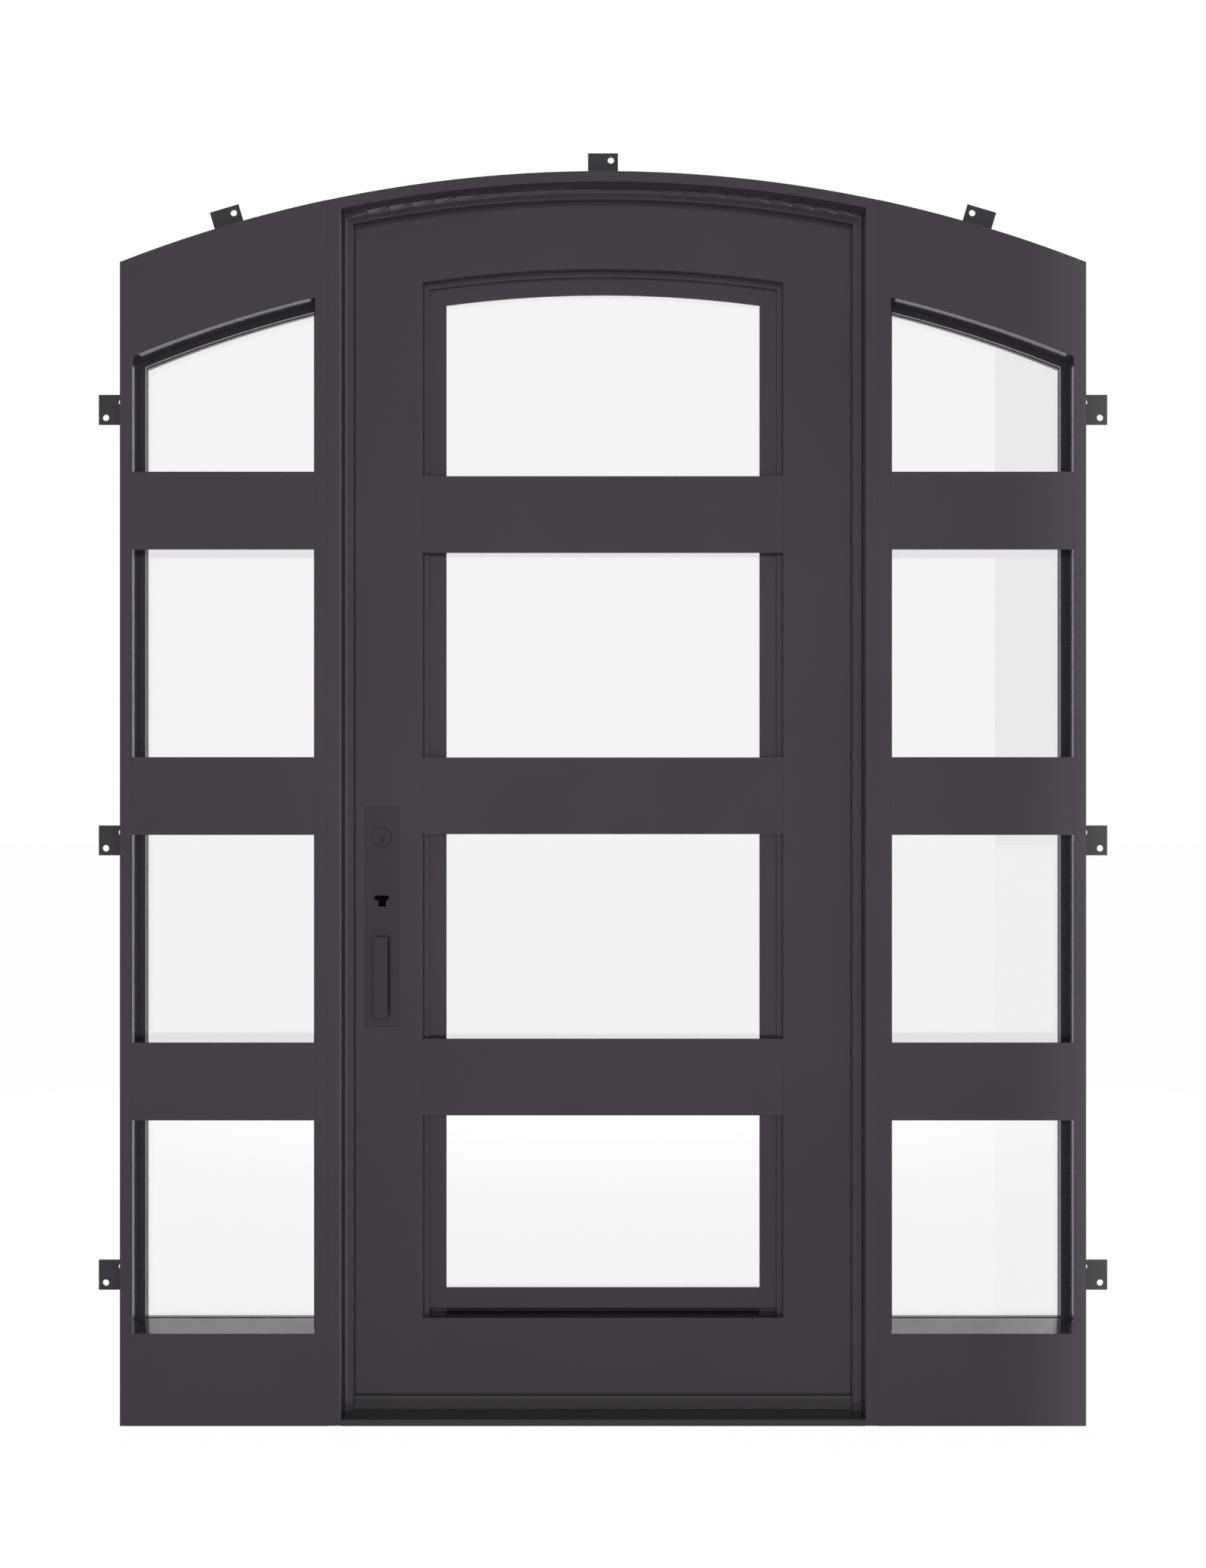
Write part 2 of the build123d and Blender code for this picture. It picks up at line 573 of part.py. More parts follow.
def make_lock_set():
    left = LOCK_X - LOCK_WIDTH / 2
    right = LOCK_X + LOCK_WIDTH / 2
    plate = block(left, right, PLATE_FRONT, LEAF_FRONT, LOCK_BOTTOM, LOCK_TOP)
    plate = fillet(plate.faces().sort_by(Axis.Y)[0].edges(), LOCK_PLATE_ROUND)
    plate -= rod_y(LOCK_X, CYLINDER_Z, CYLINDER_RADIUS + CYLINDER_GAP, PLATE_FRONT, LEAF_FRONT)
    slot_half = THUMB_SLOT_WIDTH / 2
    plate -= block(LOCK_X - slot_half, LOCK_X + slot_half, PLATE_FRONT, LEAF_FRONT,
                   THUMB_SLOT_BOTTOM, THUMB_SLOT_TOP)
    pivot_y, pivot_z = thumb_pivot()
    for sign in (-1, 1):
        near = LOCK_X + sign * slot_half
        far = near + sign * THUMB_LUG_WIDTH
        low, high = sorted((near, far))
        lug = rod_x(pivot_y, pivot_z, THUMB_LUG_RADIUS, low, high)
        lug += block(low, high, LEAF_FRONT, pivot_y, pivot_z - THUMB_LUG_RADIUS, pivot_z + THUMB_LUG_RADIUS)
        plate += lug
    plate += rod_x(pivot_y, pivot_z, THUMB_PIN_RADIUS, LOCK_X - slot_half, LOCK_X + slot_half)
    parts["lock_plate"] = plate

    plug_z = CYLINDER_Z - PLUG_DROP
    cylinder_front = PLATE_FRONT - CYLINDER_PROUD
    body = rod_y(LOCK_X, CYLINDER_Z, CYLINDER_RADIUS, cylinder_front, LEAF_FRONT + CYLINDER_DEPTH)
    plug_back = cylinder_front + PLUG_LENGTH
    parts["lock_cylinder"] = body - rod_y(LOCK_X, plug_z, PLUG_RADIUS + PLUG_RUN, cylinder_front, plug_back + PLUG_RUN)
    plug_front = cylinder_front - PLUG_PROUD
    keyway = block(LOCK_X - KEYWAY_WIDTH / 2, LOCK_X + KEYWAY_WIDTH / 2, plug_front, plug_front + KEYWAY_DEPTH,
                   plug_z - KEYWAY_HEIGHT / 2, plug_z + KEYWAY_HEIGHT / 2)
    parts["key_plug"] = rod_y(LOCK_X, plug_z, PLUG_RADIUS, plug_front, plug_back) - keyway

    parts["thumb_latch"] = thumb_latch()
    parts["pull_grip"] = pull_grip()
    parts["edge_plate"] = edge_plate(0)


def side_plane(x):
    """A plane across the door at one X, drawn in Y and Z."""
    return Plane(origin=(x, 0, 0), x_dir=(0, 1, 0), z_dir=(1, 0, 0))


def thumb_latch():
    """A flat thumb pad that slopes down to its front, on a neck that runs through the plate to a pivot eye."""
    pivot_y, pivot_z = thumb_pivot()
    thickness = THUMB_PAD_THICKNESS
    pad_back = PLATE_FRONT - THUMB_PAD_CLEAR
    pad_front = pad_back - THUMB_PAD_REACH
    pad_middle = (pad_front + pad_back) / 2
    front_top = THUMB_PAD_TOP - THUMB_PAD_DROP
    side = Polyline((pad_back, THUMB_PAD_TOP), (pad_front, front_top), (pad_front, front_top - thickness),
                    (pad_back, THUMB_PAD_TOP - thickness), close=True)
    pad = extrude(side_plane(LOCK_X - THUMB_PAD_WIDTH / 2) * make_face(side), amount=THUMB_PAD_WIDTH)
    left = LOCK_X - THUMB_NECK_WIDTH / 2
    right = LOCK_X + THUMB_NECK_WIDTH / 2
    neck = block(left, right, pad_middle, pivot_y, pivot_z - THUMB_NECK_HEIGHT / 2, pivot_z + THUMB_NECK_HEIGHT / 2)
    riser_top = THUMB_PAD_TOP - THUMB_PAD_DROP / 2 - thickness / 4
    riser = block(left, right, pad_middle, pad_back, pivot_z, riser_top)
    eye = rod_x(pivot_y, pivot_z, THUMB_EYE_RADIUS, left, right)
    hole = rod_x(pivot_y, pivot_z, THUMB_PIN_RADIUS + THUMB_PIN_RUN, left, right)
    return pad + neck + riser + eye - hole


def pull_grip():
    """A flat steel strap, bent back to the plate at both ends."""
    front = PLATE_FRONT - PULL_REACH
    height = PULL_TOP - PULL_BOTTOM
    middle = (PULL_TOP + PULL_BOTTOM) / 2
    outer = Pos(front + PULL_REACH / 2, middle) * Rectangle(PULL_REACH, height)
    outer = fillet(outer.vertices().group_by(Axis.X)[0], PULL_BEND)
    inner = Pos(front + PULL_STRAP + PULL_REACH / 2, middle) * Rectangle(PULL_REACH, height - 2 * PULL_STRAP)
    return extrude(side_plane(LOCK_X - PULL_WIDTH / 2) * (outer - inner), amount=PULL_WIDTH)


def bevel_end(shape, size):
    """The edges of the end that points indoors, taken off at 45 degrees."""
    return chamfer(shape.faces().sort_by(Axis.Y)[-1].edges(), size)


def make_indoor_trim():
    end = LEAF_BACK + LEVER_REACH
    rose = rod_y(LOCK_X, LEVER_Z, ROSE_RADIUS, LEAF_BACK, LEAF_BACK + ROSE_HEIGHT)
    neck = rod_y(LOCK_X, LEVER_Z, LEVER_NECK_RADIUS, LEAF_BACK, end - LEVER_THICKNESS / 2)
    root = Pos(LOCK_X, LEVER_Z) * Circle(LEVER_ROOT_RADIUS)
    tip = Pos(LOCK_X + LEVER_LENGTH, LEVER_Z) * Circle(LEVER_TIP_RADIUS)
    arm = slab(make_hull(root.edges() + tip.edges()), end - LEVER_THICKNESS, end)
    parts["indoor_lever"] = rose + neck + bevel_end(arm, LEVER_BEVEL)

    turn_rose = rod_y(LOCK_X, CYLINDER_Z, TURN_ROSE_RADIUS, LEAF_BACK, LEAF_BACK + TURN_ROSE_HEIGHT)
    wing = Pos(LOCK_X, CYLINDER_Z) * Rot(0, 0, 90) * SlotOverall(TURN_HEIGHT, TURN_WIDTH)
    turn = slab(wing, LEAF_BACK, LEAF_BACK + TURN_REACH)
    parts["thumb_turn"] = turn_rose + turn


make_door_frame()
make_door_stops()
make_sidelights()
make_tabs()
make_leaf()
make_sash()
make_hinges()
make_lock_set()
make_indoor_trim()

os.makedirs("parts", exist_ok=True)
for name, shape in parts.items():
    export_step(shape, f"parts/{name}.step")
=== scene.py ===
import bmesh
import bpy
import json
from math import cos, radians, sin, sqrt
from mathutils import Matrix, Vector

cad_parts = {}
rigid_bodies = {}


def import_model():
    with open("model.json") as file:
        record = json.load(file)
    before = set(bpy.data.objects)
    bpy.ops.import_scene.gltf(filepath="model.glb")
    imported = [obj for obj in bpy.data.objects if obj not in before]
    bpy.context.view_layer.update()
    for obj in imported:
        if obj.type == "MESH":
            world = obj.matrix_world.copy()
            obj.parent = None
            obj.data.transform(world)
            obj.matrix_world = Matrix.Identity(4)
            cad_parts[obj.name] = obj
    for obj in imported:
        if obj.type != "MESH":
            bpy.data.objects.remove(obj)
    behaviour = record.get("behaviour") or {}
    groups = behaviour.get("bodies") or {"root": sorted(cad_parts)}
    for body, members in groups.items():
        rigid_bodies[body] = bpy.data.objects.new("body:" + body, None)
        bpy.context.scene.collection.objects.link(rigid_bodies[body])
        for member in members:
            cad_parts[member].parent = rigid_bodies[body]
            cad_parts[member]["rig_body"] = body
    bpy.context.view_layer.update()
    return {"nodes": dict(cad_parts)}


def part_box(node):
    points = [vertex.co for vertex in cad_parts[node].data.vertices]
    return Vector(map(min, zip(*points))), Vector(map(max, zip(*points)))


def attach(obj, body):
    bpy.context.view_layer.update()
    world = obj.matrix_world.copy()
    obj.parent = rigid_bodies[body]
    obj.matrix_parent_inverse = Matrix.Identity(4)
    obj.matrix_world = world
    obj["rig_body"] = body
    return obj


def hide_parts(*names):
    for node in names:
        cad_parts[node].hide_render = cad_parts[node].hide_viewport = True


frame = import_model()
nodes = frame["nodes"]
scene = bpy.context.scene
scene.view_settings.view_transform = "Standard"


# The camera stands square to the door, level, a little over four metres from the front of the frame.
# Its height is about the middle of the door, so the sills show from above and the head from below.
CAMERA_DISTANCE = 4.229
CAMERA_HEIGHT = 1.2471
LENS = 50
SENSOR = 36
LEVEL = radians(90)
frame_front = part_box("hinge_jamb")[0].y


def stand(name, data):
    """A new object in the scene for a camera, a lamp or a mesh."""
    piece = bpy.data.objects.new(name, data)
    scene.collection.objects.link(piece)
    return piece


camera_data = bpy.data.cameras.new("camera")
camera_data.lens = LENS
camera_data.sensor_width = SENSOR
camera = stand("camera", camera_data)
camera.location = (0, frame_front - CAMERA_DISTANCE, CAMERA_HEIGHT)
camera.rotation_euler = (LEVEL, 0, 0)
scene.camera = camera


# The studio is white all round and lights the door softly from every side.
# Polished faces and glass also see that it is a little lighter above, with a bright ceiling panel past the
# door, and behind the camera on the right a narrow grey wall beside a bright screen.
WHITE = (1, 1, 1, 1)
ROOM_LEVEL = 1
ROOM_LIGHT = 0.2
RISE_GAIN = 0.25
WALL_BEARINGS = (radians(10.2), radians(12.2))
WALL_GAIN = -0.6
SCREEN_BEARINGS = (WALL_BEARINGS[1], radians(40))
SCREEN_GAIN = 2.4
CEILING_RISE = (0.3, 0.7)
CEILING_GAIN = 1.3


def link(tree, source, target):
    """Join an output to an input; each is a pair of a node and a socket's name or number."""
    tree.links.new(source[0].outputs[source[1]], target[0].inputs[target[1]])


def feed(tree, node, label, value):
    """Set an input to a value, or join an output to it, given as a pair of a node and a socket."""
    if isinstance(value, tuple) and isinstance(value[0], bpy.types.Node):
        link(tree, value, (node, label))
    else:
        node.inputs[label].default_value = value


def math_node(tree, operation, first, second):
    """A Math node on two values, each a number or a pair of a node and an output."""
    node = tree.nodes.new("ShaderNodeMath")
    node.operation = operation
    feed(tree, node, 0, first)
    feed(tree, node, 1, second)
    return node, 0


def between(tree, value, limits, gain):
    """The gain where a value lies between two limits, and 0 elsewhere."""
    inside = math_node(tree, "COMPARE", value, (limits[0] + limits[1]) / 2)
    inside[0].inputs[2].default_value = (limits[1] - limits[0]) / 2
    return math_node(tree, "MULTIPLY", inside, gain)


def seen_directly(tree):
    """1 for rays that reach the background straight, by a mirror or through glass, else 0."""
    path = tree.nodes.new("ShaderNodeLightPath")
    bent = math_node(tree, "MAXIMUM", (path, "Is Glossy Ray"), (path, "Is Transmission Ray"))
    return math_node(tree, "MAXIMUM", (path, "Is Camera Ray"), bent)


def mirrored(tree):
    """1 for rays that come from a shiny surface's reflection, else 0."""
    path = tree.nodes.new("ShaderNodeLightPath")
    return math_node(tree, "MULTIPLY", (path, "Is Glossy Ray"), (path, "Is Reflection Ray"))


def mixed(tree, share, first, second):
    """Two shaders mixed by a share."""
    choice = tree.nodes.new("ShaderNodeMixShader")
    link(tree, share, (choice, "Fac"))
    link(tree, (first, 0), (choice, 1))
    link(tree, (second, 0), (choice, 2))
    return choice


world = bpy.data.worlds.new("studio")
world.use_nodes = True
scene.world = world
tree = world.node_tree
tree.nodes.clear()
direction = tree.nodes.new("ShaderNodeTexCoord")
split = tree.nodes.new("ShaderNodeSeparateXYZ")
link(tree, (direction, "Generated"), (split, "Vector"))
towards_camera = math_node(tree, "MULTIPLY", (split, "Y"), -1)
bearing = math_node(tree, "ARCTAN2", (split, "X"), towards_camera)
wall = between(tree, bearing, WALL_BEARINGS, WALL_GAIN)
screen = between(tree, bearing, SCREEN_BEARINGS, SCREEN_GAIN)
past_door = math_node(tree, "GREATER_THAN", (split, "Y"), 0)
ceiling = math_node(tree, "MULTIPLY", between(tree, (split, "Z"), CEILING_RISE, CEILING_GAIN), past_door)
panels = math_node(tree, "ADD", ceiling, math_node(tree, "ADD", wall, screen))
path = tree.nodes.new("ShaderNodeLightPath")
panel_level = math_node(tree, "MULTIPLY", panels, (path, "Is Glossy Ray"))
rise = math_node(tree, "MULTIPLY", (split, "Z"), RISE_GAIN)
rise_level = math_node(tree, "MULTIPLY", rise, mirrored(tree))
room_level = math_node(tree, "ADD", math_node(tree, "ADD", panel_level, rise_level), ROOM_LEVEL)
shown = tree.nodes.new("ShaderNodeBackground")
link(tree, room_level, (shown, "Strength"))
lighting = tree.nodes.new("ShaderNodeBackground")
lighting.inputs["Strength"].default_value = ROOM_LIGHT
for background in (shown, lighting):
    background.inputs["Color"].default_value = WHITE
output = tree.nodes.new("ShaderNodeOutputWorld")
link(tree, (mixed(tree, seen_directly(tree), lighting, shown), 0), (output, "Surface"))


# A soft box stands behind the camera at its height, so that recesses are lit as the camera sees them, and
# another faces it from indoors. A lamp far out to the right skims past the front and picks out the edges
# that turn to it. None of them shows in polished faces, which mirror the room alone.
BOX_LAMP_POWER = 140
BOX_LAMP_SIZE = 2.4
BOX_LAMP_STAND = 0.4
EDGE_LAMP_STRENGTH = 6.0
EDGE_LAMP_SPREAD = radians(0.5)
EDGE_LAMP_BEARING = radians(89.4)


def hang_lamp(name, kind, power, place, turn):
    """A lamp that lights the matt finish alone, facing level along +Y before its turn about Z."""
    lamp_data = bpy.data.lights.new(name, kind)
    lamp_data.energy = power
    lamp = stand(name, lamp_data)
    lamp.location = place
    lamp.rotation_euler = (LEVEL, 0, turn)
    lamp.visible_glossy = False
    lamp.visible_transmission = False
    return lamp_data


box_distance = BOX_LAMP_STAND - camera.location.y
for name, y, turn in (("front_box", -box_distance, 0), ("indoor_box", box_distance, radians(180))):
    box_lamp = hang_lamp(name, "AREA", BOX_LAMP_POWER, (0, y, CAMERA_HEIGHT), turn)
    box_lamp.size = BOX_LAMP_SIZE
edge_place = (box_distance, 0, CAMERA_HEIGHT)
edge_lamp = hang_lamp("edge_lamp", "SUN", EDGE_LAMP_STRENGTH, edge_place, EDGE_LAMP_BEARING)
edge_lamp.angle = EDGE_LAMP_SPREAD


# The floor is pale and plain. Most of its white is its own, so that it meets the white background, and the
# rest takes the light and keeps a faint shadow under the door. Mirrored rays see the studio in its place.
FLOOR_HALF = 40.0
FLOOR_WHITE = 0.9
FLOOR_GLOW = 1.075
FLOOR_GLOW_SHARE = 0.9

floor_mesh = bpy.data.meshes.new("floor")
near_corners = [(-FLOOR_HALF, -FLOOR_HALF, 0), (FLOOR_HALF, -FLOOR_HALF, 0)]
far_corners = [(FLOOR_HALF, FLOOR_HALF, 0), (-FLOOR_HALF, FLOOR_HALF, 0)]
floor_mesh.from_pydata(near_corners + far_corners, [], [(0, 1, 2, 3)])
floor = stand("floor", floor_mesh)
floor_paint = bpy.data.materials.new("floor_white")
floor_paint.use_nodes = True
tree = floor_paint.node_tree
tree.nodes.clear()
shaded = tree.nodes.new("ShaderNodeBsdfDiffuse")
shaded.inputs["Color"].default_value = (FLOOR_WHITE, FLOOR_WHITE, FLOOR_WHITE, 1)
glow = tree.nodes.new("ShaderNodeEmission")
glow.inputs["Strength"].default_value = FLOOR_GLOW
glow_share = math_node(tree, "MULTIPLY", seen_directly(tree), FLOOR_GLOW_SHARE)
painted = mixed(tree, glow_share, shaded, glow)
unseen = tree.nodes.new("ShaderNodeBsdfTransparent")
output = tree.nodes.new("ShaderNodeOutputMaterial")
link(tree, (mixed(tree, mirrored(tree), painted, unseen), 0), (output, "Surface"))
floor_mesh.materials.append(floor_paint)


# Jambs and arched head are folded from steel sheet, welded, ground flush and powder coated as one frame.
# The coat is charcoal: a fine orange peel in close-up, slightly cloudy from one spray pass to the next.
# Folds are rounded, and edges that butt against a sidelight are only just broken.
CHARCOAL = (0.0415, 0.0378, 0.0434, 1)
COAT_SHEEN = (0.09, 0.13)
COAT_SPECULAR = 0.25
COAT_CLOUD = 0.06
CLOUD_SCALE = 3.5
CLOUD_DETAIL = 3
GRAIN_SCALE = 2600
GRAIN_DETAIL = 2
PEEL_SCALE = 700
PEEL_DETAIL = 2
PEEL_STRENGTH = 0.06
PEEL_DEPTH = 0.0002
NOISE_LOW = 0.3
NOISE_HIGH = 0.7
FOLD_ROUND = 0.0016
SEAM_ROUND = 0.0005
SEAM_REACH = 0.0001
MERGE_DISTANCE = 2e-5
FLAT_ANGLE = radians(0.3)
EDGE_ANGLE = radians(25)
ROUND_STEPS = 3
seam_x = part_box("hinge_jamb")[1].x


def make_group(name, inputs, outputs):
    """A shader node group with its sockets, and its input and output nodes."""
    group = bpy.data.node_groups.new(name, "ShaderNodeTree")
    for label, kind, value in inputs:
        socket = group.interface.new_socket(label, in_out="INPUT", socket_type=kind)
        socket.default_value = value
    for label, kind in outputs:
        group.interface.new_socket(label, in_out="OUTPUT", socket_type=kind)
    return group, group.nodes.new("NodeGroupInput"), group.nodes.new("NodeGroupOutput")


def noise(tree, scale, detail, stretch=(1, 1, 1)):
    """A noise texture on the piece's own coordinates, with the scale in waves for each metre."""
    place = tree.nodes.new("ShaderNodeTexCoord")
    mapping = tree.nodes.new("ShaderNodeMapping")
    link(tree, (place, "Object"), (mapping, "Vector"))
    feed(tree, mapping, "Scale", stretch)
    texture = tree.nodes.new("ShaderNodeTexNoise")
    texture.inputs["Scale"].default_value = scale
    texture.inputs["Detail"].default_value = detail
    link(tree, (mapping, "Vector"), (texture, "Vector"))
    return texture, "Fac"


def spread(tree, value, low, high):
    """Noise values stretched to run from low to high, each a number or a pair of a node and an output."""
    node = tree.nodes.new("ShaderNodeMapRange")
    node.inputs["From Min"].default_value = NOISE_LOW
    node.inputs["From Max"].default_value = NOISE_HIGH
    link(tree, value, (node, "Value"))
    feed(tree, node, "To Min", low)
    feed(tree, node, "To Max", high)
    return node, "Result"


def tinted(tree, colour, level):
    """A colour made lighter or darker by a level."""
    tint = tree.nodes.new("ShaderNodeVectorMath")
    tint.operation = "SCALE"
    feed(tree, tint, 0, colour)
    link(tree, level, (tint, "Scale"))
    return tint, 0


def make_powder_coat():
    """Sprayed and baked powder: cloudy colour, uneven sheen and a fine orange peel."""
    colour, number = "NodeSocketColor", "NodeSocketFloat"
    group, given, made = make_group(
        "powder_coat",
        [("Colour", colour, CHARCOAL), ("Cloud", number, COAT_CLOUD),
         ("Sheen Low", number, COAT_SHEEN[0]), ("Sheen High", number, COAT_SHEEN[1])],
        [("Colour", colour), ("Roughness", number), ("Peel", number)])
    lighter = math_node(group, "ADD", 1, (given, "Cloud"))
    darker = math_node(group, "SUBTRACT", 1, (given, "Cloud"))
    level = spread(group, noise(group, CLOUD_SCALE, CLOUD_DETAIL), darker, lighter)
    link(group, tinted(group, (given, "Colour"), level), (made, "Colour"))
    grain = noise(group, GRAIN_SCALE, GRAIN_DETAIL)
    link(group, spread(group, grain, (given, "Sheen Low"), (given, "Sheen High")), (made, "Roughness"))
    link(group, noise(group, PEEL_SCALE, PEEL_DETAIL), (made, "Peel"))
    return group


powder_coat = make_powder_coat()


def new_finish(name):
    """A new material with its node tree and its shader."""
    material = bpy.data.materials.new(name)
    material.use_nodes = True
    return material, material.node_tree, material.node_tree.nodes["Principled BSDF"]


def bumped(tree, shader, height, strength, distance):
    """Fine relief on a shader from a height that varies over the surface."""
    bump = tree.nodes.new("ShaderNodeBump")
    bump.inputs["Strength"].default_value = strength
    bump.inputs["Distance"].default_value = distance
    link(tree, height, (bump, "Height"))
    link(tree, (bump, "Normal"), (shader, "Normal"))


def coat(name, colour, sheen=COAT_SHEEN, specular=COAT_SPECULAR):
    """A powder-coated finish in one colour."""
    material, tree, shader = new_finish(name)
    layer = tree.nodes.new("ShaderNodeGroup")
    layer.node_tree = powder_coat
    layer.inputs["Colour"].default_value = colour
    layer.inputs["Sheen Low"].default_value = sheen[0]
    layer.inputs["Sheen High"].default_value = sheen[1]
    shader.inputs["Specular IOR Level"].default_value = specular
    link(tree, (layer, "Colour"), (shader, "Base Color"))
    link(tree, (layer, "Roughness"), (shader, "Roughness"))
    bumped(tree, shader, (layer, "Peel"), PEEL_STRENGTH, PEEL_DEPTH)
    return material


def baked(piece):
    """The piece's mesh with its modifiers worked in."""
    graph = bpy.context.evaluated_depsgraph_get()
    shaped = piece.evaluated_get(graph)
    return bpy.data.meshes.new_from_object(shaped, preserve_all_data_layers=True, depsgraph=graph)


def whole_faced(mesh):
    """The mesh with its doubled points merged and its flat faces made whole, ready for more work."""
    shell = bmesh.new()
    shell.from_mesh(mesh)
    bmesh.ops.remove_doubles(shell, verts=shell.verts, dist=MERGE_DISTANCE)
    bmesh.ops.dissolve_limit(shell, angle_limit=FLAT_ANGLE, verts=shell.verts, edges=shell.edges)
    return shell


def cad_skin(node):
    """A plain copy of a CAD piece's mesh as one closed skin."""
    shell = whole_faced(nodes[node].data)
    skin = bpy.data.meshes.new(node + "_skin")
    shell.to_mesh(skin)
    shell.free()
    return skin


def welded(names):
    """One skin round CAD pieces that are welded together and ground flush."""
    pieces = [stand(name + "_part", cad_skin(name)) for name in names]
    for other in pieces[1:]:
        union = pieces[0].modifiers.new(other.name, "BOOLEAN")
        union.operation = "UNION"
        union.solver = "EXACT"
        union.object = other
    skin = baked(pieces[0])
    for piece in pieces:
        bpy.data.objects.remove(piece)
    return skin


def folded(line, seam):
    """True for an edge along the frame's front or back, away from its seam with a sidelight."""
    on_face = all(abs(abs(point.co.y) + frame_front) < SEAM_REACH for point in line.verts)
    on_seam = all(abs(abs(point.co.x) - seam) < SEAM_REACH for point in line.verts)
    return on_face and not on_seam


def eased(name, names, material, edge, seam=None):
    """CAD pieces as one with rounded edges, standing for their nodes.

    Given a seam, only the folds have the full rounding, and other edges are just broken.
    """
    shell = whole_faced(welded(names))
    weight = shell.edges.layers.float.new("bevel_weight_edge")
    for line in shell.edges:
        if line.is_manifold and line.calc_face_angle() > EDGE_ANGLE:
            line[weight] = 1 if seam is None or folded(line, seam) else SEAM_ROUND / edge
    skin = bpy.data.meshes.new(name)
    shell.to_mesh(skin)
    shell.free()
    skin.shade_smooth()
    piece = stand(name, skin)
    bevel = piece.modifiers.new("rounded_edges", "BEVEL")
    bevel.limit_method = "WEIGHT"
    bevel.width = edge
    bevel.segments = ROUND_STEPS
    bevel.use_clamp_overlap = False
    piece.modifiers.new("flat_faces", "WEIGHTED_NORMAL")
    finished = baked(piece)
    piece.modifiers.clear()
    piece.data = finished
    finished.materials.clear()
    finished.materials.append(material)
    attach(piece, nodes[names[0]]["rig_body"])
    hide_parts(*names)
    return piece


frame_coat = coat("frame_charcoal", CHARCOAL)
eased("door_frame", ("hinge_jamb", "latch_jamb", "head"), frame_coat, FOLD_ROUND, seam_x)


# The threshold is a flat steel sill, welded in between the jambs and coated a plainer grey than the frame.
# The thin upstand along its back, which keeps out the rain, is lighter: a painted reflection of the floor.
SILL_GREY = (0.0325, 0.0325, 0.0325, 1)
UPSTAND_PAINTED_REFLECTION = (0.05, 0.047, 0.049, 1)
SILL_TOP = 0.0128
SHEET_ROUND = 0.0003
sill = eased("door_sill", ("threshold",), coat("sill_grey", SILL_GREY), SHEET_ROUND)
# Faces above the sill's top take the lighter coat: a painted reflection on the upstand.
sill.data.materials.append(coat("upstand_painted_reflection", UPSTAND_PAINTED_REFLECTION))
for face in sill.data.polygons:
    face.material_index = 1 if face.center.z > SILL_TOP else 0


# Door stops are thin steel sections with a cove and a small step, mitred where the arch meets the jambs.
# They are welded into the frame and coated with it, so that each reads as fine shaded lines inside it.
STOP_ROUND = 0.0003
for name in ("hinge_stop", "latch_stop", "head_stop"):
    eased(name + "_finished", (name,), frame_coat, STOP_ROUND)


# A soft rubber bulb runs round the back of the stops and of the sill's upstand, and the leaf closes on it.
# It is one length of hollow seal, glued on and bent round at the corners of the arch and the sill.
SEAL_RADIUS = 0.0024
SEAL_CORNER = 0.008
SEAL_SIDES = 12
CORNER_STEPS = 6
ARCH_STEPS = 48
ARCH_RISE = 0.177
ARCH_TOP = 2.438
SEAL_DROP = 0.03285
RUBBER_BLACK = (0.006, 0.006, 0.006, 1)
RUBBER_SHEEN = (0.5, 0.65)
frame_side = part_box("right_outer_stile")[1].x
arch_radius = (frame_side**2 + ARCH_RISE**2) / (2 * ARCH_RISE)
arch_middle = ARCH_TOP - arch_radius


def geometry_tree(name, inputs):
    """A Geometry Nodes tree that takes and gives a mesh, with named inputs for its sizes and finish."""
    tree = bpy.data.node_groups.new(name, "GeometryNodeTree")
    tree.interface.new_socket("Geometry", in_out="INPUT", socket_type="NodeSocketGeometry")
    for label, kind in inputs:
        tree.interface.new_socket(label, in_out="INPUT", socket_type=kind)
    tree.interface.new_socket("Finish", in_out="INPUT", socket_type="NodeSocketMaterial")
    tree.interface.new_socket("Geometry", in_out="OUTPUT", socket_type="NodeSocketGeometry")
    return tree, tree.nodes.new("NodeGroupInput")


def add_node(tree, kind, **inputs):
    """A node with its inputs set or joined by name, where _ stands for a space."""
    node = tree.nodes.new(kind)
    for label, value in inputs.items():
        feed(tree, node, label.replace("_", " "), value)
    return node


def close_tree(tree, given, shape, smooth):
    """End a tree with a real mesh, its shading and the finish that it is given."""
    real = add_node(tree, "GeometryNodeRealizeInstances", Geometry=shape)
    shading = add_node(tree, "GeometryNodeSetShadeSmooth", Geometry=(real, 0), Shade_Smooth=smooth)
    done = add_node(tree, "GeometryNodeSetMaterial", Geometry=(shading, 0), Material=(given, "Finish"))
    output = tree.nodes.new("NodeGroupOutput")
    link(tree, (done, 0), (output, 0))


def grown(name, tree, guide, body, slot, **values):
    """A piece grown by a tree on a guide mesh and kept as a plain mesh that rides on a body."""
    piece = stand(name, guide)
    modifier = piece.modifiers.new(name, "NODES")
    modifier.node_group = tree
    sockets = {item.name: item.identifier for item in tree.interface.items_tree if item.in_out == "INPUT"}
    for label, value in values.items():
        modifier[sockets[label.replace("_", " ")]] = value
    mesh = baked(piece)
    piece.modifiers.clear()
    piece.data = mesh
    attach(piece, body)
    return piece


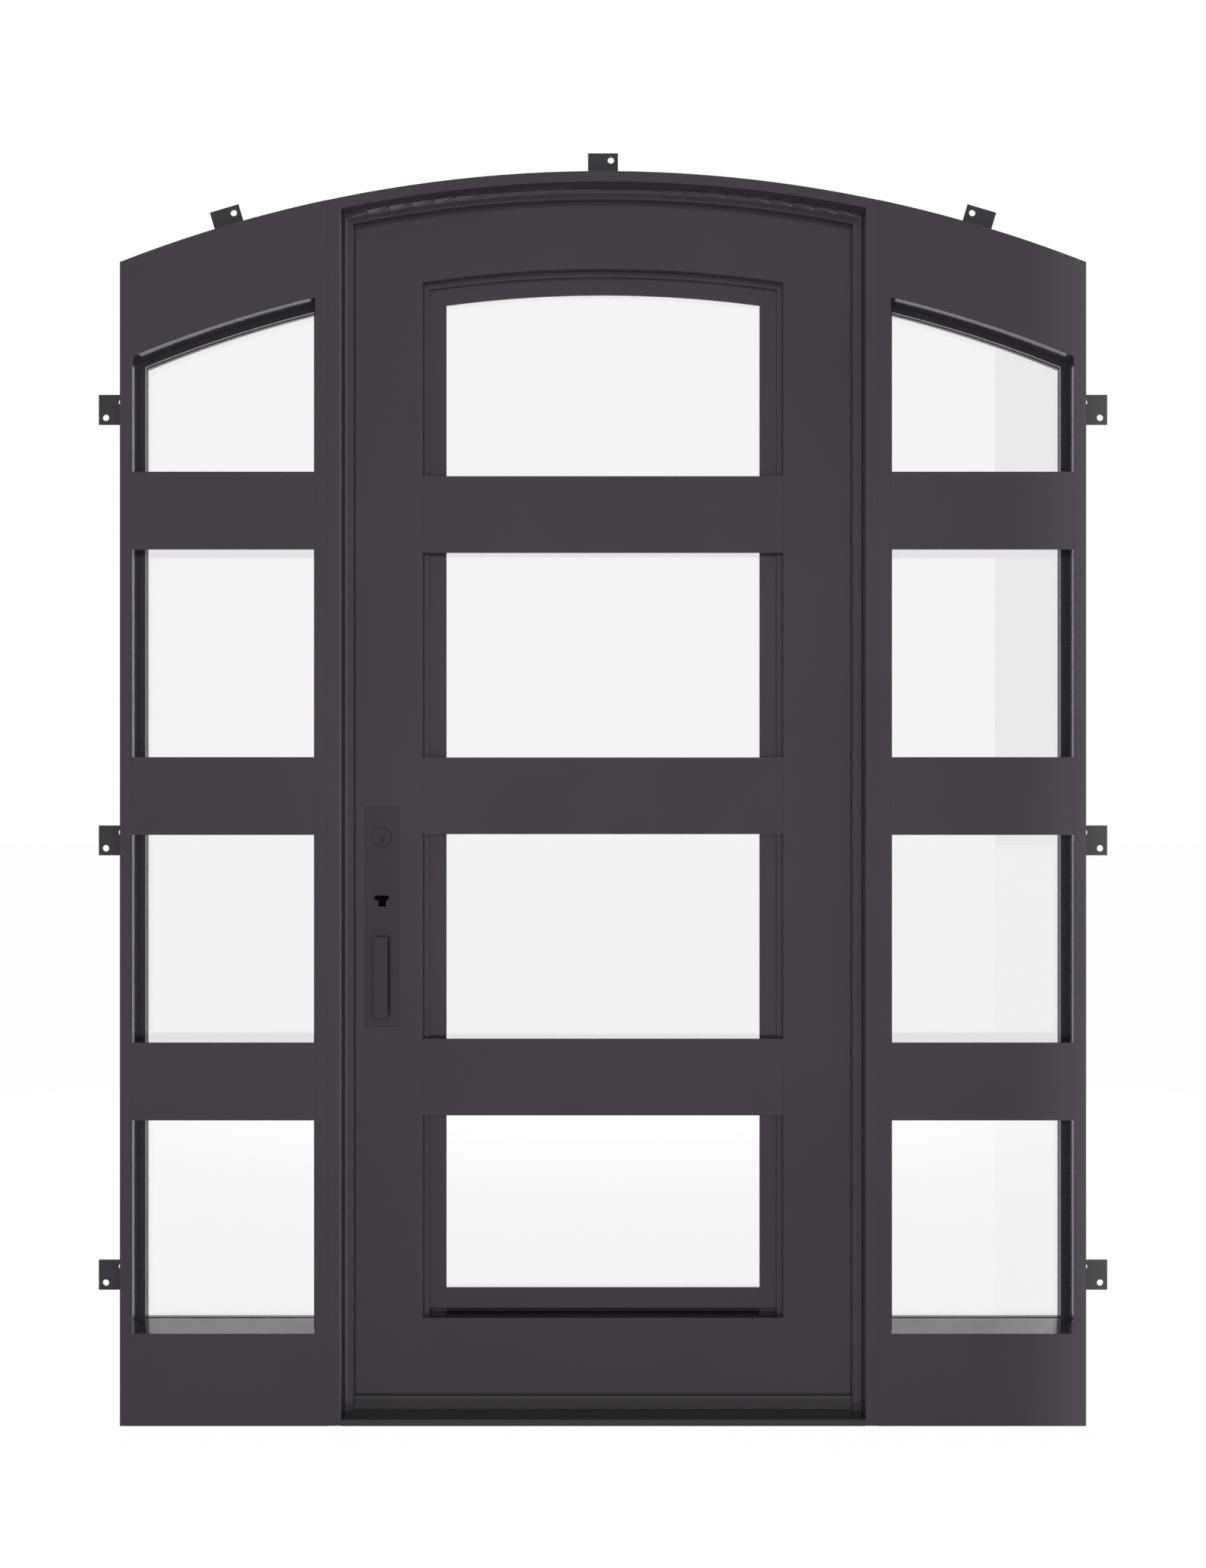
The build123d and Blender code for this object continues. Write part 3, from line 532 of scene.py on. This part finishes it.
def make_bulb_seal():
    """A round rubber bulb along a line, bent at the line's corners."""
    number = "NodeSocketFloat"
    tree, given = geometry_tree("bulb_seal", [("Radius", number), ("Corner", number)])
    line = add_node(tree, "GeometryNodeMeshToCurve", Mesh=(given, "Geometry"))
    bent = add_node(tree, "GeometryNodeFilletCurve", Curve=(line, 0), Radius=(given, "Corner"))
    bent.mode = "POLY"
    bent.inputs["Count"].default_value = CORNER_STEPS
    ring = add_node(tree, "GeometryNodeCurvePrimitiveCircle", Resolution=SEAL_SIDES,
                    Radius=(given, "Radius"))
    tube = add_node(tree, "GeometryNodeCurveToMesh", Curve=(bent, 0), Profile_Curve=(ring, 0))
    close_tree(tree, given, (tube, 0), True)
    return tree


def guide_mesh(name, points, lines=()):
    """Points, and lines between them, for a tree to work on."""
    mesh = bpy.data.meshes.new(name)
    mesh.from_pydata(points, lines, [])
    return mesh


seal_x = (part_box("hinge_stop")[0].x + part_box("leaf_hinge_stile")[1].x) / 2
seal_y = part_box("hinge_stop")[1].y + SEAL_RADIUS
seal_low = (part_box("leaf_bottom_rail")[0].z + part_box("threshold")[1].z) / 2
seal_arch = arch_radius - SEAL_DROP
seal_points = [(seal_x, seal_y, seal_low), (-seal_x, seal_y, seal_low)]
for step in range(ARCH_STEPS + 1):
    x = seal_x * (2 * step / ARCH_STEPS - 1)
    seal_points.append((x, seal_y, arch_middle + sqrt(seal_arch**2 - x**2)))
seal_lines = [(i, (i + 1) % len(seal_points)) for i in range(len(seal_points))]
rubber = coat("seal_rubber", RUBBER_BLACK, RUBBER_SHEEN)
seal_guide = guide_mesh("door_seal_line", seal_points, seal_lines)
bulb_seal = make_bulb_seal()
grown("door_seal", bulb_seal, seal_guide, "frame", "spacer",
      Radius=SEAL_RADIUS, Corner=SEAL_CORNER, Finish=rubber)


# Sidelights are welded frames of the same sheet, set against the jambs with a fine seam between them.
# Flat steel bars cross each one, let in flush with its front, and keep a hairline joint at their ends.
BAR_ROUND = 0.0003
SIDE_ROUND = 0.0004
for side in ("left", "right"):
    names = [f"{side}_{part}" for part in ("inner_stile", "outer_stile", "top_rail", "bottom_rail")]
    eased(side + "_sidelight_frame", names, frame_coat, SIDE_ROUND)
eased("sidelight_crossbars", ("sidelight_bars",), frame_coat, BAR_ROUND)


# Slim square stops in front and beads behind hold each pane of the sidelights.
# The stops are welded in, and their coat is the frame's made a shade darker: painted shade for the recess
# round each pane. The beads are screwed on from indoors once the glass is set.
STOP_PAINTED_SHADE = (0.0252, 0.023, 0.0264, 1)
BEAD_ROUND = 0.0002
BEAD_TRIM = 0.002
PANE_MIDDLE = 1.2
SIDE_FACING = 0.5


def slimmed(node, middle, material, trim):
    """A ring trimmed on the side that faces the middle of its pane, so that what is in front hides it."""
    shell = whole_faced(nodes[node].data)
    trims = {}
    for face in shell.faces:
        place = face.calc_center_median()
        inwards = (abs(middle) if place.x > 0 else -abs(middle)) - place.x
        facing = face.normal.x * inwards + face.normal.z * (PANE_MIDDLE - place.z)
        if abs(face.normal.y) < SIDE_FACING and facing > 0:
            for point in face.verts:
                trims.setdefault(point, []).append(face.normal.copy())
    for point, normals in trims.items():
        first, last = normals[0], normals[-1]
        point.co -= trim * (first + last) / (1 + first.dot(last))
    skin = bpy.data.meshes.new(node + "_slim")
    shell.to_mesh(skin)
    shell.free()
    skin.materials.append(material)
    piece = stand(node + "_slim", skin)
    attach(piece, nodes[node]["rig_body"])
    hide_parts(node)


# Painted shade: the stops take a darker coat than the frame for the recess they sit in.
stop_shade_coat = coat("stop_painted_shade", STOP_PAINTED_SHADE)
eased("glazing_stops_finished", ("glazing_stops",), stop_shade_coat, BEAD_ROUND)
side_low, side_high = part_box("right_glass")
side_middle = (side_low.x + side_high.x) / 2
slimmed("glazing_beads", side_middle, frame_coat, BEAD_TRIM)


# Insulated glass is two panes of clear float, hardly grey even through both, and very slightly wavy.
# A black spacer bonded round the edge keeps them apart.
GLASS_TINT = (0.948, 0.948, 0.948, 1)
GLASS_IOR = 1.5
WAVE_SCALE = 5
WAVE_DETAIL = 1
WAVE_STRENGTH = 0.02
WAVE_DEPTH = 0.0005
SPACER_BLACK = (0.008, 0.008, 0.008, 1)
SPACER_TRIM = 0.0095


def clear_glass():
    """Clear float glass with the faint waves of its making."""
    material, tree, shader = new_finish("clear_glass")
    shader.inputs["Base Color"].default_value = GLASS_TINT
    shader.inputs["Roughness"].default_value = 0
    shader.inputs["IOR"].default_value = GLASS_IOR
    shader.inputs["Transmission Weight"].default_value = 1
    bumped(tree, shader, noise(tree, WAVE_SCALE, WAVE_DETAIL), WAVE_STRENGTH, WAVE_DEPTH)
    return material


def dress(node, material):
    """Give a CAD piece whose shape stays as it is its finish."""
    nodes[node].material_slots[0].material = material


glass = clear_glass()
for name in ("left_glass", "right_glass", "leaf_glass"):
    dress(name, glass)
edge_seal = coat("edge_seal", SPACER_BLACK, RUBBER_SHEEN)
slimmed("glass_spacers", side_middle, edge_seal, SPACER_TRIM)
slimmed("leaf_spacer", 0, edge_seal, SPACER_TRIM)


# Wall tabs are square steel plates with two bolt holes, in the frame's charcoal darkened as painted shade.
# A bead of weld along each face joins them to the frame.
TAB_PAINTED_SHADE = (0.035, 0.0328, 0.0363, 1)
TAB_ROUND = 0.00015
TAB_SIZE = 0.0593
TAB_HEIGHTS = (0.276, 1.1355, 1.9875)
ARCH_TAB_TURN = radians(16.54)
WELD_RADIUS = 0.0019
WELD_PITCH = 0.0016
WELD_SPREAD = 0.1
WELD_SEED = 7
BEAD_SEGMENTS = 8
BEAD_RINGS = 5
# The tab coat, used on the welds too, is the frame's charcoal made darker: painted shade.
tab_shade_coat = coat("tab_painted_shade", TAB_PAINTED_SHADE)
for name in ("side_tabs", "arch_tabs"):
    eased(name + "_finished", (name,), tab_shade_coat, TAB_ROUND)


def make_weld_bead():
    """Overlapping drops of weld along each line, a little uneven in size."""
    number = "NodeSocketFloat"
    tree, given = geometry_tree("weld_bead", [("Radius", number), ("Pitch", number), ("Spread", number)])
    line = add_node(tree, "GeometryNodeMeshToCurve", Mesh=(given, "Geometry"))
    marks = add_node(tree, "GeometryNodeResampleCurve", Curve=(line, 0))
    marks.mode = "LENGTH"
    link(tree, (given, "Pitch"), (marks, "Length"))
    drop = add_node(tree, "GeometryNodeMeshUVSphere", Segments=BEAD_SEGMENTS, Rings=BEAD_RINGS,
                    Radius=(given, "Radius"))
    size = tree.nodes.new("FunctionNodeRandomValue")
    size.data_type = "FLOAT"
    ends = [math_node(tree, operation, 1, (given, "Spread")) for operation in ("SUBTRACT", "ADD")]
    number_inputs = [socket for socket in size.inputs if socket.type == "VALUE"]
    for end, socket in zip(ends, number_inputs):
        tree.links.new(end[0].outputs[0], socket)
    size.inputs["Seed"].default_value = WELD_SEED
    drops = add_node(tree, "GeometryNodeInstanceOnPoints", Points=(marks, 0), Instance=(drop, 0))
    number_output = next(socket for socket in size.outputs if socket.type == "VALUE")
    tree.links.new(number_output, drops.inputs["Scale"])
    close_tree(tree, given, (drops, 0), True)
    return tree


weld_points = []
tab_low, tab_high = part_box("side_tabs")
for y in (tab_low.y, tab_high.y):
    for x in (-frame_side, frame_side):
        for z in TAB_HEIGHTS:
            weld_points += [(x, y, z - TAB_SIZE / 2), (x, y, z + TAB_SIZE / 2)]
    for turn in (-ARCH_TAB_TURN, 0, ARCH_TAB_TURN):
        for end in (-TAB_SIZE / 2, TAB_SIZE / 2):
            x = sin(turn) * arch_radius + cos(turn) * end
            weld_points.append((x, y, arch_middle + sqrt(arch_radius**2 - x**2)))
weld_lines = [(i, i + 1) for i in range(0, len(weld_points), 2)]
grown("tab_welds", make_weld_bead(), guide_mesh("tab_weld_lines", weld_points, weld_lines), "frame",
      "frame_paint", Radius=WELD_RADIUS, Pitch=WELD_PITCH, Spread=WELD_SPREAD, Finish=tab_shade_coat)


# The leaf is a welded frame of stiles and rails with ground corners, in the frame's own charcoal.
# Flat bars cross its opening, let in flush in front like those of the sidelights.
LEAF_ROUND = 0.0003
leaf_coat = coat("leaf_charcoal", CHARCOAL)
leaf_names = ("leaf_latch_stile", "leaf_hinge_stile", "leaf_top_rail", "leaf_bottom_rail")
leaf_frame = eased("leaf_frame", leaf_names, leaf_coat, LEAF_ROUND)
eased("leaf_crossbars", ("leaf_bars",), leaf_coat, BAR_ROUND)


# A slim sash stands in the leaf's opening behind a liner, and holds the glass with a bead indoors.
# All of it is bent and folded steel in the leaf's coat, with tight folds. A black rubber bulb fills the
# gap under the sash; it is there for its black, as painted shade in that deep gap.
SASH_BEAD_TRIM = 0.005
SASH_FOOT_DEPTH = 0.014
FOOT_SEAL_RADIUS = 0.0055
for name in ("sash_liner", "sash_stiles", "sash_top_rail", "sash_bottom_rail"):
    eased(name + "_finished", (name,), leaf_coat, STOP_ROUND)
slimmed("sash_bead", 0, leaf_coat, SASH_BEAD_TRIM)
rail_low, rail_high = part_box("sash_bottom_rail")
foot_y = rail_high.y - SASH_FOOT_DEPTH - FOOT_SEAL_RADIUS
foot_z = rail_low.z + FOOT_SEAL_RADIUS
foot_ends = [(x, foot_y, foot_z) for x in (rail_low.x, rail_high.x)]
foot_line = guide_mesh("sash_foot_line", foot_ends, [(0, 1)])
# A black bulb in the gap under the sash: painted shade.
grown("sash_foot_shade_seal", bulb_seal, foot_line, "leaf", "spacer",
      Radius=FOOT_SEAL_RADIUS, Corner=0.0, Finish=rubber)


# The lock's edge plate is let into the leaf's latch edge, and the strike into the jamb opposite.
# Both are bright steel, brushed along their length, and held by a screw near each end.
STEEL_GREY = (0.42, 0.42, 0.43, 1)
BRUSH_SCALE = 900
BRUSH_DETAIL = 3
BRUSH_SHEEN = (0.26, 0.4)
BRUSH_LEVELS = (0.85, 1.1)
BRUSH_STRENGTH = 0.05
ALONG_PLATE = (1, 1, 0.02)
PLATE_SCREW_INSET = 0.012
PLATE_SCREW_RADIUS = 0.0042
PLATE_SCREW_HEIGHT = 0.0004
LATCH_EDGE_SLANT = 0.0468
SCREW_SIDES = 24
SOCKET_SIDES = 6
SOCKET_SHARE = 0.5
SCREW_TAPER = 0.8


def make_brushing():
    """The fine lines that a belt leaves on steel: uneven tone, sheen and relief, drawn out one way."""
    colour, number = "NodeSocketColor", "NodeSocketFloat"
    group, given, made = make_group(
        "brushing", [("Colour", colour, STEEL_GREY), ("Stretch", "NodeSocketVector", ALONG_PLATE)],
        [("Colour", colour), ("Roughness", number), ("Lines", number)])
    lines = noise(group, BRUSH_SCALE, BRUSH_DETAIL, (given, "Stretch"))
    level = spread(group, lines, *BRUSH_LEVELS)
    link(group, tinted(group, (given, "Colour"), level), (made, "Colour"))
    link(group, spread(group, lines, *BRUSH_SHEEN), (made, "Roughness"))
    link(group, lines, (made, "Lines"))
    return group


brushing = make_brushing()


def brushed_steel(name, stretch):
    """Bare steel, brushed along the way in which its lines are stretched."""
    material, tree, shader = new_finish(name)
    layer = tree.nodes.new("ShaderNodeGroup")
    layer.node_tree = brushing
    layer.inputs["Stretch"].default_value = stretch
    shader.inputs["Metallic"].default_value = 1
    link(tree, (layer, "Colour"), (shader, "Base Color"))
    link(tree, (layer, "Roughness"), (shader, "Roughness"))
    bumped(tree, shader, (layer, "Lines"), BRUSH_STRENGTH, PEEL_DEPTH)
    return material


def make_socket_screw():
    """A low tapered screw head with a six-sided socket, at each point, facing one way."""
    number, vector = "NodeSocketFloat", "NodeSocketVector"
    inputs = [("Radius", number), ("Height", number), ("Facing", vector)]
    tree, given = geometry_tree("socket_screw", inputs)
    rim = math_node(tree, "MULTIPLY", (given, "Radius"), SCREW_TAPER)
    depth = math_node(tree, "MULTIPLY", (given, "Height"), 2)
    head = add_node(tree, "GeometryNodeMeshCone", Vertices=SCREW_SIDES, Depth=depth, Radius_Top=rim,
                    Radius_Bottom=(given, "Radius"))
    sink = tree.nodes.new("ShaderNodeCombineXYZ")
    link(tree, math_node(tree, "MULTIPLY", (given, "Height"), -1), (sink, "Z"))
    seated = add_node(tree, "GeometryNodeTransform", Geometry=(head, 0), Translation=(sink, 0))
    width = math_node(tree, "MULTIPLY", (given, "Radius"), SOCKET_SHARE)
    key = add_node(tree, "GeometryNodeMeshCylinder", Vertices=SOCKET_SIDES, Radius=width, Depth=depth)
    lift = tree.nodes.new("ShaderNodeCombineXYZ")
    link(tree, (given, "Height"), (lift, "Z"))
    raised = add_node(tree, "GeometryNodeTransform", Geometry=(key, 0), Translation=(lift, 0))
    cut = add_node(tree, "GeometryNodeMeshBoolean", Mesh_1=(seated, 0), Mesh_2=(raised, 0))
    cut.operation = "DIFFERENCE"
    facing = add_node(tree, "FunctionNodeAlignRotationToVector", Vector=(given, "Facing"))
    screws = add_node(tree, "GeometryNodeInstanceOnPoints", Points=(given, "Geometry"), Instance=(cut, 0),
                      Rotation=(facing, 0))
    close_tree(tree, given, (screws, 0), False)
    return tree


socket_screw = make_socket_screw()
plate_steel = brushed_steel("plate_steel", ALONG_PLATE)
for name in ("edge_plate", "strike_plate"):
    dress(name, plate_steel)
strike_low, strike_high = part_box("strike_plate")
edge_low, edge_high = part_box("edge_plate")
edge_x = edge_low.x + LATCH_EDGE_SLANT * (edge_high.y - edge_low.y) / 2
plate_y = (strike_low.y + strike_high.y) / 2
for name, body, x, facing in (("strike_screws", "frame", strike_high.x, (1.0, 0.0, 0.0)),
                              ("edge_plate_screws", "leaf", edge_x, (-1.0, -LATCH_EDGE_SLANT, 0.0))):
    heights = (strike_low.z + PLATE_SCREW_INSET, strike_high.z - PLATE_SCREW_INSET)
    places = guide_mesh(name + "_places", [(x, plate_y, z) for z in heights])
    grown(name, socket_screw, places, body, "steel", Radius=PLATE_SCREW_RADIUS,
          Height=PLATE_SCREW_HEIGHT, Facing=facing, Finish=plate_steel)


# Three butt hinges carry the leaf on the indoor side: painted plates and knuckles on bare steel pins.
# Low socket screws in black hold the plates, in line on the frame and staggered on the leaf.
PLATE_ROUND = 0.0004
AROUND_PIN = (0.05, 0.05, 1)
HINGE_HEIGHTS = (0.3, 1.19, 2.08)
FRAME_SCREW_RISES = (-0.036, 0, 0.036)
LEAF_SCREW_PLACES = ((-0.008, -0.038), (0.008, -0.02), (0.008, 0.02), (-0.008, 0.038))
FRAME_PLATE_WIDTH = 0.0165
LEAF_PLATE_WIDTH = 0.034
HINGE_PLATE_THICKNESS = 0.004
SCREW_RADIUS = 0.0046
SCREW_HEIGHT = 0.0011
SCREW_BLACK = (0.012, 0.012, 0.012, 1)
eased("hinge_frame_plates_finished", ("hinge_frame_plates",), frame_coat, PLATE_ROUND)
eased("hinge_leaf_plates_finished", ("hinge_leaf_plates",), leaf_coat, PLATE_ROUND)
dress("hinge_pins", brushed_steel("pin_steel", AROUND_PIN))
black_screw = coat("screw_black", SCREW_BLACK)
indoors = (0.0, 1.0, 0.0)
jamb_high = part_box("hinge_jamb")[1]
frame_line = jamb_high.x - FRAME_PLATE_WIDTH / 2
frame_face = jamb_high.y + HINGE_PLATE_THICKNESS
leaf_plate_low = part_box("hinge_leaf_plates")[0]
leaf_line = leaf_plate_low.x + LEAF_PLATE_WIDTH / 2
leaf_face = leaf_plate_low.y + HINGE_PLATE_THICKNESS
frame_screws = [(frame_line, frame_face, z + rise) for z in HINGE_HEIGHTS for rise in FRAME_SCREW_RISES]
leaf_screws = [(leaf_line + x, leaf_face, z + rise)
               for z in HINGE_HEIGHTS for x, rise in LEAF_SCREW_PLACES]
for name, body, slot, points in (("hinge_frame_screws", "frame", "frame_paint", frame_screws),
                                 ("hinge_leaf_screws", "leaf", "leaf_paint", leaf_screws)):
    grown(name, socket_screw, guide_mesh(name + "_places", points), body, slot,
          Radius=SCREW_RADIUS, Height=SCREW_HEIGHT, Facing=indoors, Finish=black_screw)


# The lock set is a long plate with a keyed cylinder at the top, a thumb latch under it and a pull grip
# below. All but the latch are coated a plain charcoal. The thumb pad is a dull black with next to no
# sheen, partly its own finish and partly painted shade for the slot it sits in. The faces inside the
# pocket that it tips in, behind a slot in the plate, are painted the same black as painted shade.
LOCK_GREY = (0.031, 0.0278, 0.033, 1)
THUMB_BLACK_AND_SHADE = (0.002, 0.002, 0.002, 1)
THUMB_SHEEN = (0.8, 0.95)
THUMB_SPECULAR = 0.03
LOCK_ROUND = 0.0003
GRIP_ROUND = 0.0006
POCKET_HALF = 0.0115
POCKET_HEIGHTS = (0.9985, 1.0303)
POCKET_LIP = 0.0006


def paint_pocket_shade(piece, front, middle, material):
    """Paint the faces behind a front, inside the thumb latch's pocket, with a black that stands in for
    shade.
    """
    piece.data.materials.append(material)
    for face in piece.data.polygons:
        x, y, z = face.center
        across = abs(x - middle) < POCKET_HALF
        upright = POCKET_HEIGHTS[0] < z < POCKET_HEIGHTS[1]
        if across and upright and y > front + POCKET_LIP:
            face.material_index = 1


lock_coat = coat("lock_charcoal", LOCK_GREY)
for name in ("lock_cylinder", "key_plug"):
    eased(name + "_finished", (name,), lock_coat, LOCK_ROUND)
lock_plate = eased("lock_plate_finished", ("lock_plate",), lock_coat, LOCK_ROUND)
eased("pull_grip_finished", ("pull_grip",), lock_coat, GRIP_ROUND)
thumb_black_and_shade_coat = coat("thumb_black_and_painted_shade", THUMB_BLACK_AND_SHADE, THUMB_SHEEN, THUMB_SPECULAR)
eased("thumb_latch_finished", ("thumb_latch",), thumb_black_and_shade_coat, LOCK_ROUND)
plate_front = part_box("lock_plate")[0].y
leaf_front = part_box("leaf_latch_stile")[0].y
thumb_low, thumb_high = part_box("thumb_latch")
thumb_middle = (thumb_low.x + thumb_high.x) / 2
# The pocket's faces in the plate and the leaf take the thumb's black as painted shade.
paint_pocket_shade(lock_plate, plate_front, thumb_middle, thumb_black_and_shade_coat)
paint_pocket_shade(leaf_frame, leaf_front, thumb_middle, thumb_black_and_shade_coat)


# Indoors a lever on a round rose works the latch, and a small wing on its own rose throws the bolt.
# Both are cast, with soft edges, and coated like the plate outdoors.
CAST_ROUND = 0.0012
for name in ("indoor_lever", "thumb_turn"):
    eased(name + "_finished", (name,), lock_coat, CAST_ROUND)
